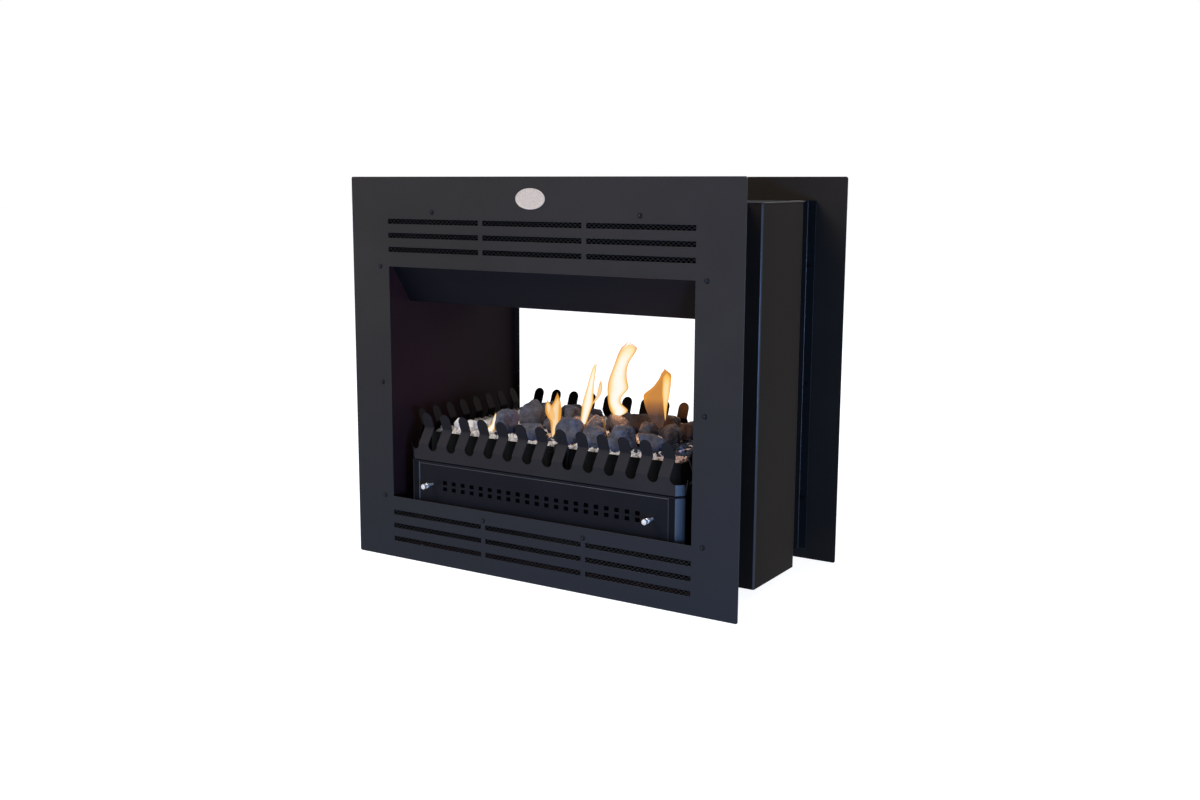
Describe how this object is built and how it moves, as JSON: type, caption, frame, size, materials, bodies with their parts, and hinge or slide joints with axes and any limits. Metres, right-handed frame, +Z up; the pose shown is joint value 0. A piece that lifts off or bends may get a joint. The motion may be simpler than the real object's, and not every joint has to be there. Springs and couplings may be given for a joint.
{
  "type": "fireplace insert",
  "caption": "Double-sided gas fireplace insert: two louvred fascia frames, an open firebox, and a folded finger-comb fire basket with coals over a control bay with lift-off vented covers.",
  "frame": {"origin": "on the floor under the middle of the insert, midway between the two fascia frames", "axes": "+X to the right seen from the front, +Y from the front frame to the rear frame, +Z up"},
  "size_m": [0.865, 0.478, 0.768],
  "materials": {
    "frame_coat": "fine-textured dark grey powder coat, satin",
    "liner_coat": "heat-resistant matt black paint",
    "basket_coat": "heat-resistant satin black paint",
    "mesh_steel": "black expanded metal",
    "pull_steel": "turned and polished",
    "burner_steel": "heat-dulled stainless sheet",
    "granules": "loose white mineral granules",
    "coals": "matt moulded ceramic fibre, speckled blue-grey",
    "valve_alloy": "die-cast, matt",
    "knob_plastic": "black thermoset, fine texture",
    "button_plastic": "red push button",
    "plated_steel": "zinc-plated",
    "pipe_alloy": "drawn tube",
    "brass": "machined",
    "rubber": "matt",
    "lead_jacket": "heat-resistant jacket",
    "insulator": "glazed ceramic"
  },
  "bodies": {
    "root": {"front_frame": "frame_coat", "rear_frame": "frame_coat", "front_upper_mesh": "mesh_steel", "front_lower_mesh": "mesh_steel", "rear_upper_mesh": "mesh_steel", "rear_lower_mesh": "mesh_steel", "left_liner_wall": "liner_coat", "right_liner_wall": "liner_coat", "left_air_duct": "liner_coat", "right_air_duct": "liner_coat", "base_plate": "liner_coat", "firebox_floor": "liner_coat", "heat_deflector": "liner_coat", "plenum_baffle": "liner_coat", "top_cover": "liner_coat", "left_cheek": "liner_coat", "right_cheek": "liner_coat", "bay_sills": "liner_coat", "housing_top": "liner_coat", "basket_base": "basket_coat", "front_comb": "basket_coat", "rear_comb": "basket_coat", "left_comb": "basket_coat", "right_comb": "basket_coat", "burner_tray": "burner_steel", "burner_tubes": "burner_steel", "granule_bed": "granules", "front_coals": "coals", "front_middle_coals": "coals", "middle_coals": "coals", "rear_middle_coals": "coals", "rear_coals": "coals", "granule_lumps": "granules", "control_bracket": "plated_steel", "gas_valve": "valve_alloy", "igniter_body": "knob_plastic", "pilot_bracket": "plated_steel", "pilot_burner": "burner_steel", "thermocouple": "plated_steel", "spark_electrode": "insulator", "inlet_fitting": "brass", "inlet_grommet": "rubber", "supply_pipe": "pipe_alloy", "feed_pipe": "pipe_alloy", "injector": "brass", "pilot_pipe": "pipe_alloy", "thermocouple_lead": "lead_jacket", "spark_lead": "lead_jacket"},
    "front_panel": {"front_cover_panel": "liner_coat", "front_pull_knobs": "pull_steel"},
    "rear_panel": {"rear_cover_panel": "liner_coat", "rear_pull_knobs": "pull_steel"},
    "control_spindle": {"valve_spindle": "plated_steel"},
    "control_knob": {"control_knob": "knob_plastic"},
    "igniter_button": {"igniter_button": "button_plastic"}
  },
  "joints": [
    {"name": "front_panel_tilt", "type": "hinge", "parent": "root", "child": "front_panel", "pos_m": [0, -0.207, 0.1182], "axis": [1, 0, 0], "range_deg": [0, 50]},
    {"name": "rear_panel_tilt", "type": "hinge", "parent": "root", "child": "rear_panel", "pos_m": [0, 0.207, 0.1182], "axis": [-1, 0, 0], "range_deg": [0, 50]},
    {"name": "control_knob_turn", "type": "hinge", "parent": "root", "child": "control_spindle", "pos_m": [-0.15, -0.18, 0.157], "axis": [0, -1, 0], "range_deg": [0, 180]},
    {"name": "control_knob_push", "type": "slide", "parent": "control_spindle", "child": "control_knob", "axis": [0, 1, 0], "range_m": [0, 0.003], "stiffness_N_per_m": 500, "springref_m": -0.002},
    {"name": "igniter_push", "type": "slide", "parent": "root", "child": "igniter_button", "axis": [0, 1, 0], "range_m": [0, 0.005], "stiffness_N_per_m": 300, "springref_m": -0.002}
  ]
}
